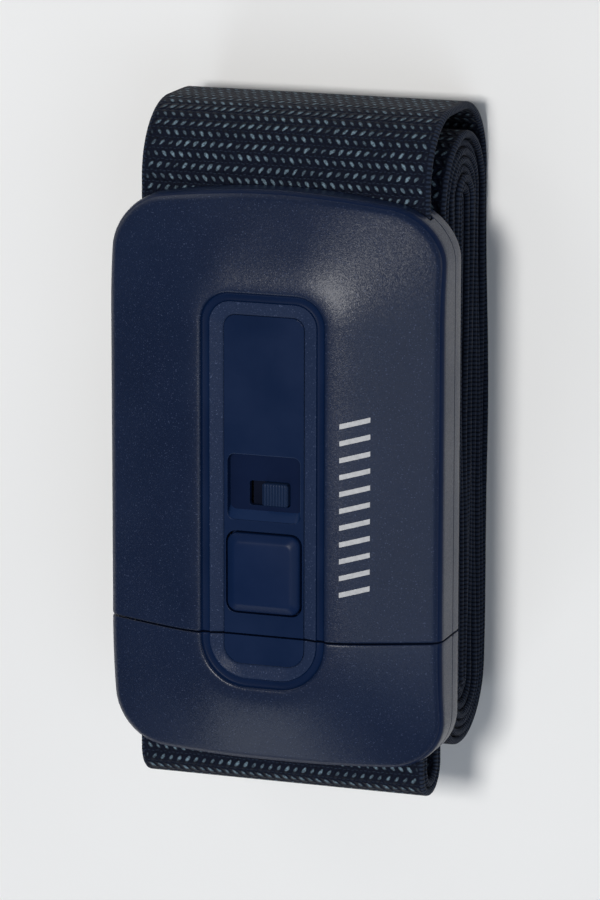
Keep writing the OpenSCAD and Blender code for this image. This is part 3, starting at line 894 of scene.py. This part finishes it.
def tray_rings():
    """The outside of the closed buckle's back, from the seam down and round its lower edge."""
    outer = skirt()
    inner = [(x * 0.996, y * 0.998) for x, y in outer]
    r, steps = 1.3, 6
    half_l = (TOP - BOTTOM) / 2
    rings = [level(inner, SEAM), level(outer, SEAM - 0.14), level(outer, SEAM - 1.0), level(outer, r)]
    for k in range(1, steps + 1):
        a = math.radians(90 * k / steps)
        s = r * (1 - math.cos(a))
        rings.append([(x * (1 - s / HALF_W), y * (1 - s / half_l), r - r * math.sin(a)) for x, y in outer])
    return rings


def half_of(obj, name, side):
    """One side of the parting line, with the edge there slightly rounded, closed with a flat end."""
    bm = bmesh.new()
    bm.from_mesh(obj.data)
    y = PART + side * GAP
    for off in (0.32, 0.14, 0.05, 0.0):
        bmesh.ops.bisect_plane(
            bm,
            geom=bm.verts[:] + bm.edges[:] + bm.faces[:],
            plane_co=(0, (y + side * off) * MM, 0),
            plane_no=(0, side, 0),
            clear_inner=off == 0.0,
            dist=1e-7,
        )
    bm.normal_update()
    moved = []
    for v in bm.verts:
        off = abs(v.co.y / MM - y)
        for mark, sink in ((0.0, 0.12), (0.05, 0.06), (0.14, 0.02)):
            if abs(off - mark) < 0.01:
                n = Vector((v.normal.x, 0, v.normal.z))
                if n.length > 1e-6:
                    moved.append((v, n.normalized() * -sink * MM))
    for v, by in moved:
        v.co += by
    border = [e for e in bm.edges if e.is_boundary]
    bmesh.ops.holes_fill(bm, edges=border, sides=0)
    bmesh.ops.recalc_face_normals(bm, faces=bm.faces)
    mesh = bpy.data.meshes.new(name)
    bm.to_mesh(mesh)
    bm.free()
    for material in obj.data.materials:
        mesh.materials.append(material)
    half = bpy.data.objects.new(name, mesh)
    bpy.context.scene.collection.objects.link(half)
    return half


def inside_of(side):
    """A block round the stretch along the buckle that one half's hollow takes up."""
    wall = PART + side * (GAP + 1.5)
    span = (wall, TOP + 15) if side > 0 else (BOTTOM - 9, wall)
    return block("limit", -40, 40, *span, -5, 30, BUCKLE_Z)


def hollow(side):
    """The space inside a front shell."""
    points = []
    for ax, ay, dx, dy, full in crown_spans():
        d = full - WALL
        for out, z in (
            (d, SEAM - 1),
            (d, crown(d) - 3.4),
            (d - 1.4, crown(d - 1.4) - 1.7),
            (d * 0.6, crown(d * 0.6) - 1.7),
        ):
            points.append((ax + dx * out, ay + dy * out, z))
    points += level(ring_loop(CREST - 1.5), ROOF)
    obj = hull_object("hollow", points, BUCKLE_Z)
    return cut(obj, inside_of(side), mode="INTERSECT")


def make_front_shells():
    z = BUCKLE_Z
    mouth, fork = 25.3, 17.4  # half widths of the openings for the webbing and for the fork
    rings, slots = crown_rings()
    whole = loft("front", rings, z, slots=slots)
    for material in (SHELL, LIP, RING_M):
        whole.data.materials.append(material)
    up = half_of(whole, "housing_front_shell", 1)
    down = half_of(whole, "tongue_front_shell", -1)
    bpy.data.objects.remove(whole, do_unlink=True)
    cut(
        up,
        hollow(1),
        block("mouth", -mouth, mouth, TOP - 8, TOP + 2, SEAM - 1, 6.15, z),
        block("room", -6.35, 6.35, -26, 2.5, ROOF - 1, 16, z),
        block("fork", -fork, fork, PART - 1, PART + 4, SEAM - 1, 8.5, z),
    )
    cut(
        down,
        hollow(-1),
        block("mouth", -mouth, mouth, BOTTOM - 1, BOTTOM + 8, SEAM - 1, 7.5, z),
        block("fork", -fork, fork, PART - 4, PART + 1, SEAM - 1, 8.5, z),
    )
    for obj, node, body in ((up, "housing_front", "housing"), (down, "tongue_front", "tongue")):
        shade(obj, 38)
        dress(obj, None, body, node)


def housing_fittings():
    """Ears that hold the anchor bar, rails that guide the fork, and the seats of the leaf and the spring."""
    z = BUCKLE_Z
    base = FLOOR - 0.8
    parts = []
    for side in (-1, 1):
        ear = sorted((side * 25.4, side * 26.6))
        rail = sorted((side * 17.4, side * 18.6))
        parts.append(block("ear", *ear, ANCHOR_Y - 3, ANCHOR_Y + 3, base, 9, z))
        parts.append(block("rail", *rail, -24, -4, base, 8.2, z))
    parts.append(block("seat", -9, 9, 2.5, 10, base, 4.2, z))
    parts.append(drum("boss", 0, SPRING_Y, 3, base, SPRING_BASE, z))
    return parts


def make_back_shells():
    z = BUCKLE_Z
    whole = loft("back", tray_rings(), z)
    inside = [(x * 0.945, y * 0.966) for x, y in skirt()]
    for name, node, body, side, places in (
        ("housing_back_shell", "housing_back", "housing", 1, ((21.5, 7), (21.5, -22))),
        ("tongue_back_shell", "tongue_back", "tongue", -1, ((20.5, -33.1),)),
    ):
        obj = half_of(whole, name, side)
        tray = hull_object("tray", level(inside, FLOOR) + level(inside, SEAM + 1), z)
        cut(tray, inside_of(side), mode="INTERSECT")
        cut(obj, tray)
        screws = [(s * x, y) for x, y in places for s in (-1, 1)]
        posts = [drum("post", x, y, 3.2, 0.5, SEAM - 0.02, z) for x, y in screws]
        cut(obj, *posts, *(housing_fittings() if body == "housing" else ()), mode="UNION")
        holes = []
        for x, y in screws:
            holes.append(drum("seat", x, y, 2.35, -1, 1.7, z))
            holes.append(drum("hole", x, y, 1.35, -1, 6, z))
        cut(obj, *holes)
        shade(obj, 38)
        dress(obj, SHELL, body, node)
    bpy.data.objects.remove(whole, do_unlink=True)


make_front_shells()
make_back_shells()


# ---------------------------------------------------------------- panel, button and slider
def panel_slab(name, side):
    """The part of the smooth panel that lies on one side of the parting line."""
    hw, y0, y1 = PANEL
    rings = []
    for inset, z in ((0.01, -PANEL_T), (0.01, -0.12), (0.03, -0.04), (0.09, 0.0)):
        r0, r1 = 3 - inset, 2 - inset
        loop = corner_loop(hw - inset, y0 + inset, y1 - inset, r0, r1, n_corner=10, n_end=6, n_side=30)
        rings.append(level(loop, PANEL_Z + z))
    slab = loft(name, rings, BUCKLE_Z)
    edge = PART + side * GAP
    limit = block("limit", -9, 9, *sorted((edge, edge + side * 70)), 5, 20, BUCKLE_Z)
    return cut(slab, limit, mode="INTERSECT")


def on_pocket_floor(height):
    return abs(height - POCKET_Z) < 0.05


def rim(co):
    """On the rim of the pocket or the button's hole, or of the slot in the pocket's floor."""
    hw, y0, y1 = PANEL
    x0, x1, s0, s1 = SLOT
    height = co.z - BUCKLE_Z
    slot = on_pocket_floor(height) and x0 - 0.35 < co.x < x1 + 0.35 and s0 - 0.35 < co.y < s1 + 0.35
    return slot or (height > PANEL_Z - 0.05 and abs(co.x) < hw - 0.2 and y0 + 0.2 < co.y < y1 - 0.2)


def panel_tools():
    """The pocket, the button's hole and the slot, as solids to cut out of the panel."""
    z = BUCKLE_Z
    small = dict(n_corner=6, n_end=2, n_side=2)
    hw, y0, y1 = POCKET
    top = corner_loop(hw, y0, y1, 1.2, 1.2, **small)
    floor = corner_loop(hw - 0.1, y0 + 1.5, y1 - 0.05, 1.0, 1.1, **small)
    pocket = hull_object("pocket", level(floor, POCKET_Z) + level(top, PANEL_Z - 0.14) + level(top, 17), z)
    hw, y0, y1 = BUTTON
    hole = corner_loop(hw + 0.28, y0 - 0.3, y1 + 0.3, 1.85, 1.85, **small)
    well = hull_object("well", level(hole, 10) + level(hole, 17), z)
    x0, x1, y0, y1 = SLOT
    loop = [(x + (x0 + x1) / 2, y) for x, y in corner_loop((x1 - x0) / 2, y0, y1, 0.5, 0.5, **small)]
    slot = hull_object("slot", level(loop, 12) + level(loop, 17), z)
    return pocket, well, slot


def paint_pocket(panel):
    """Paints the pocket's floor darker as painted shade, its ramp lighter as painted light and its top and
    right rim paler as a painted highlight, each with its own material.
    """
    hw, y0, y1 = POCKET
    for material in (POCKET_FLOOR_SHADE_M, RAMP_LIGHT_M, RIM_HIGHLIGHT_M):
        panel.data.materials.append(material)
    for face in panel.data.polygons:
        x, y, height = face.center.x / MM, face.center.y / MM, face.center.z / MM - BUCKLE_Z
        normal = face.normal
        # the pocket's floor gets its painted shade
        if normal.z > 0.95 and on_pocket_floor(height):
            face.material_index = 1
        # the ramp gets its painted light
        elif normal.z > 0.2 and normal.y > 0.2 and y0 < y < y0 + 1.6:
            face.material_index = 2
        # the top and right rim get the painted highlight
        elif height > PANEL_Z - 0.2 and normal.z > 0.2 and y0 + 1.2 < y < y1 + 0.2:
            if normal.y < -0.2 or (normal.x < -0.2 and x > hw - 1.3):
                face.material_index = 3


def make_panel():
    up = panel_slab("housing_inset", 1)
    down = panel_slab("tongue_inset", -1)
    hw, y0, y1 = POCKET
    bed = (0.05 - hw, hw - 0.05, y0 - 0.9, y1 + 0.6, POCKET_Z - 0.9, PANEL_Z - PANEL_T + 0.1)
    cut(up, block("bed", *bed, BUCKLE_Z), mode="UNION")
    cut(up, *panel_tools())
    for obj, node, body in ((up, "face_panel", "housing"), (down, "tongue_panel", "tongue")):
        soften(obj, rim, 0.12, 3, 30)
        dress(obj, PANEL_M, body, node)
    paint_pocket(up)


def make_button():
    z = BUCKLE_Z
    hw, y0, y1 = BUTTON
    rings = []
    # inset and height of the cap's sides, its rounded edge and its top
    profile = [
        (0.0, 13.0), (0.0, 15.35), (0.03, 15.50), (0.12, 15.64), (0.28, 15.78), (0.60, 15.98), (0.95, 16.18),
        (1.20, 16.31), (1.38, 16.37), (1.62, 16.40),
    ]
    for inset, h in profile:
        r = max(0.45, 1.7 - inset * 0.55)
        loop = corner_loop(hw - inset, y0 + inset, y1 - inset, r, r, n_corner=8, n_end=8, n_side=8)
        rings.append(level(loop, h))
    cap = loft("button_cap", rings, z, 50)
    rest = [
        block("flange", -6, 6, y0 - 0.9, y1 + 0.8, 12.4, 13.7, z),
        block("foot", -3, 3, -17, -14.2, 6.95, 12.5, z),
        block("lug", -6, -3.6, y1 - 0.5, y1 + 2, 11.2, 12.5, z),
    ]
    cut(cap, *rest, mode="UNION")
    cut(cap, drum("bore", 0, SPRING_Y, 2.8, 11, SPRING_TOP, z))
    shade(cap, 40)
    dress(cap, BUTTON_M, "button", "release_button")


def knob_section(x0, w, base, ribs=8):
    """Section of the knob across its ribs, from one side over the top to the other."""
    side = [(0.0, base), (0.0, 14.95), (0.05, 15.08), (0.2, 15.15)]
    section = [(x0 + x, h) for x, h in side]
    pitch = (w - 0.5) / ribs
    for k in range(ribs):
        for f, h in ((0.0, 15.06), (0.18, 15.16), (0.38, 15.21), (0.62, 15.21), (0.82, 15.16)):
            section.append((x0 + 0.25 + (k + f) * pitch, h))
    section.append((x0 + w - 0.25, 15.06))
    return section + [(x0 + w - x, h) for x, h in reversed(side)]


def make_slider():
    z = BUCKLE_Z
    x0, w, y0, d, base = -0.40, 4.45, -6.70, 3.8, 12.5
    section = knob_section(x0, w, base)
    near = ((0.0, 0.35), (0.08, 0.16), (0.22, 0.04), (0.4, 0.0))  # place along the knob, drop of its top
    far = ((d - 0.4, 0.0), (d - 0.22, 0.0), (d - 0.08, 0.06), (d, 0.2))
    rings = [[(x, y0 + y, h - drop if h > base else h) for x, h in section] for y, drop in near + far]
    knob = loft("slider_knob", rings, z, 60)
    loop = corner_loop(w / 2, y0, y0 + d, 0.45, 0.45, n_corner=8, n_end=2, n_side=2)
    plan = [(x + x0 + w / 2, y) for x, y in loop]
    cut(knob, hull_object("plan", level(plan, 12) + level(plan, 16), z), mode="INTERSECT")
    shade(knob, 50)
    dress(knob, KNOB_M, "lock", "lock_slider")
    plate = block("slider_plate", -2.6, 6.1, -8.2, -1.4, 12.1, 12.9, z)
    cut(plate, block("tab", -1.2, 1.6, -9.1, -7.5, 9.6, 12.2, z), mode="UNION")
    # the plate's near-black colour is painted shade of the slot
    dress(plate, SLOT_SHADE_PLATE_M, "lock", "lock_slider")


def make_button_spring():
    """Compression spring under the button, with one closed turn at each end."""
    wire, mid = 0.3, 2.1
    turns, steps, sides = 6, 24, 10
    low, high = SPRING_BASE + wire + 0.05, SPRING_TOP - wire - 0.05
    closed = 0.68  # rise of a closed turn
    open_rise = (high - low - 2 * closed) / (turns - 2)

    def height(t):
        ends = min(t, 1.0) + max(t - turns + 1, 0)
        return low + closed * ends + open_rise * min(max(t - 1, 0), turns - 2)

    rings = []
    for i in range(turns * steps + 1):
        a = 2 * math.pi * i / steps
        ring = []
        for j in range(sides):
            b = 2 * math.pi * j / sides
            r = mid + wire * math.cos(b)
            ring.append((r * math.cos(a), SPRING_Y + r * math.sin(a), height(i / steps) + wire * math.sin(b)))
        rings.append(ring)
    coil = loft("button_coil", rings, BUCKLE_Z, 60)
    dress(coil, SPRING, "housing", "button_spring")
    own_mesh(coil)


def make_latch_leaf():
    """Leaf spring held by its screw; its tooth end is pushed down with the button."""
    low, high, tooth = 4.2, 4.8, 6.9
    end, heel, point = 9.5, -14.2, -17.0  # the held end, and the two ends of the tooth
    span = [end + (heel - end) * i / 16 for i in range(17)]
    outline = [(y, high) for y in span]
    outline += [(heel, tooth - 0.1), (heel - 0.1, tooth), (heel - 0.5, tooth), (heel - 0.65, tooth - 0.1)]
    outline += [(point, high), (point + 0.6, low)]
    outline += [(y, low) for y in reversed(span)]
    mid_y, mid_z = -3.5, 4.7
    rings = []
    for x, inset in ((-10.0, 0.02), (-9.9, 0.0), (9.9, 0.0), (10.0, 0.02)):
        rings.append([(x, y + (mid_y - y) * inset * 0.3, h + (mid_z - h) * inset * 5) for y, h in outline])
    leaf = loft("latch_spring_leaf", rings, BUCKLE_Z, 30)
    cut(leaf, drum("hole", 0, 6, 1.1, 3, 6, BUCKLE_Z))
    shade(leaf, 30)
    dress(leaf, SPRING)
    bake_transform(leaf)
    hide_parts("latch_leaf")


make_panel()
make_button()
make_slider()
make_button_spring()
make_latch_leaf()


# ---------------------------------------------------------------- printed bars
def make_print():
    """Thin bars that follow the crown, in a column where the photographed buckle carries its print."""
    verts, faces = [], []
    x0, x1 = 13.3, 18.1
    y0, bars, pitch = -20.8, 11, 31.0 / 11
    lean, width, lift = 1.2, 0.85, 0.03
    cells = 8
    for k in range(bars):
        for i in range(cells + 1):
            f = i / cells
            x = x0 + (x1 - x0) * f
            y = y0 + k * pitch + lean * f
            h = crown(x - PANEL[0] - CREST) + lift
            verts += [(x, y, h), (x, y + width, h)]
        base = k * 2 * (cells + 1)
        for i in range(cells):
            a = base + 2 * i
            faces.append((a, a + 2, a + 3, a + 1))
    mark = mesh_object("printed_bars", verts, faces, BUCKLE_Z)
    dress(mark, PRINT, "housing")


make_print()


# ---------------------------------------------------------------- inner pieces keep their CAD shape
for node, material in (
    ("housing_screws", STEEL),
    ("tongue_screws", STEEL),
    ("leaf_screw", STEEL),
    ("anchor_bar", STEEL),
    ("adjuster_bar", STEEL),
    ("slider_spring", SPRING),
    ("slider_keeper", INNER),
    ("tongue_core", INNER),
    ("anchor_stitches", THREAD),
):
    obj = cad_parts[node]
    obj.data.materials.clear()
    obj.data.materials.append(material)
